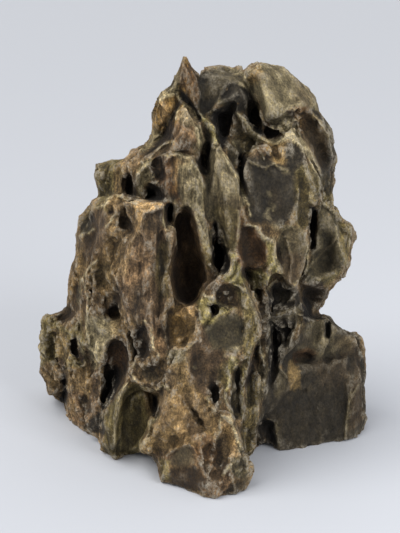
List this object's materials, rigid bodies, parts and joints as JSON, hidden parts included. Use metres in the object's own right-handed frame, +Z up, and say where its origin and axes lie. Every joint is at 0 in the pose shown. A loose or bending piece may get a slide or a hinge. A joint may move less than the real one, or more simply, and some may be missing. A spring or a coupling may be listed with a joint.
{
  "type": "dragon stone",
  "caption": "Weathered clay stone of upright blades, sharp crests and deep oval hollows, standing on its own feet.",
  "frame": {"origin": "on the ground, under the middle of the stone's bounds", "axes": "+Z up, -Y towards the show side, +X to the right of the show side"},
  "size_m": [0.236, 0.1784, 0.2648],
  "materials": {
    "stone": "dry weathered clay stone with slate faces, ochre hollows and pale crests"
  },
  "bodies": {
    "root": {"dragon_stone": "stone"}
  },
  "joints": []
}
